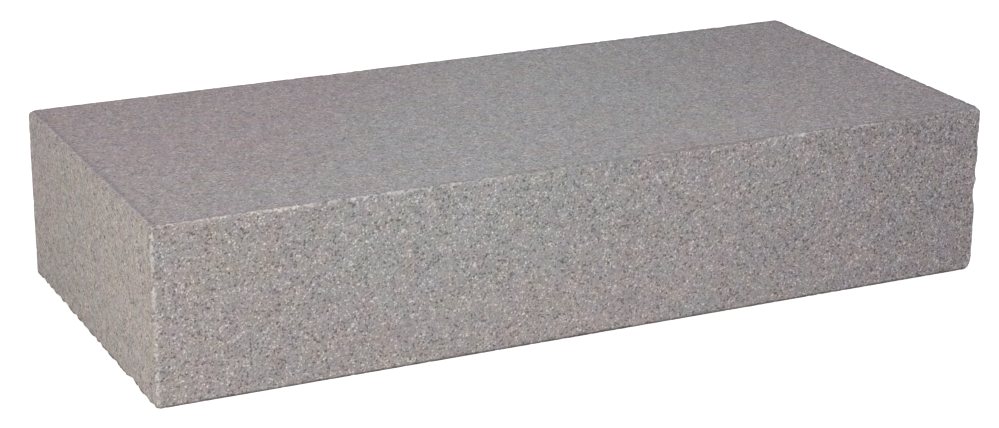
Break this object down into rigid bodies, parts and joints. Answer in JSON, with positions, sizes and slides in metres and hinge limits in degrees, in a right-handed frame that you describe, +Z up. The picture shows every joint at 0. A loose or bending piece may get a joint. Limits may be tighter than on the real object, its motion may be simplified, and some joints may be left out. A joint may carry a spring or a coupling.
{
  "type": "stair step block",
  "caption": "Solid granite block step: a long rectangular stone that makes one whole stair step, with flat faces and eased, slightly spalled arrises.",
  "frame": {"origin": "middle of the bed, the face that the stone lies on", "axes": "+X along the length of the step, -Y out of the riser towards the person who climbs, +Z up out of the tread"},
  "size_m": [0.75, 0.34, 0.148],
  "materials": {
    "granite": "matte"
  },
  "bodies": {
    "root": {"step_block": "granite"}
  },
  "joints": []
}
